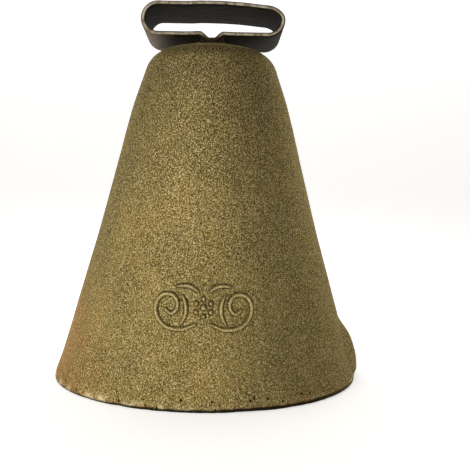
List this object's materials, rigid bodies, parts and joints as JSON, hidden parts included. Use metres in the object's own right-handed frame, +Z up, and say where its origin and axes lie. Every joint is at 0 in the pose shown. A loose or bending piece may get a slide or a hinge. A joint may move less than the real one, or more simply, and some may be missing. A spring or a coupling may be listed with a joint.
{
  "type": "cowbell",
  "caption": "Conical cast cowbell with a bent steel strap loop on its crown and a clapper hung on a riveted staple inside.",
  "frame": {"origin": "centre of the rim, in the plane that the bell stands on", "axes": "+Z up along the bell's axis, Y along the strap loop's slot with the ornamented front at -Y, +X towards the flank with the boss"},
  "size_m": [0.1002, 0.0998, 0.1208],
  "materials": {
    "cast_bronze": "sand-cast, aged",
    "strip_steel": "dark oxide, worn bright on its edges",
    "forged_steel": "forged, dull",
    "iron_ball": "as cast, worn at the strike line"
  },
  "bodies": {
    "bell": {"bell_body": "cast_bronze", "strap_loop": "strip_steel", "clapper_staple": "forged_steel", "backing_plate": "forged_steel"},
    "link": {"clapper_link": "forged_steel"},
    "clapper": {"clapper_rod": "forged_steel", "clapper_ball": "iron_ball"}
  },
  "joints": [
    {"name": "link_swing", "type": "hinge", "parent": "bell", "child": "link", "pos_m": [0, 0, 0.0886], "axis": [0, 1, 0], "range_deg": [-20, 20]},
    {"name": "clapper_swing", "type": "hinge", "parent": "link", "child": "clapper", "pos_m": [0, 0, 0.0796], "axis": [1, 0, 0], "range_deg": [-8, 8]}
  ]
}
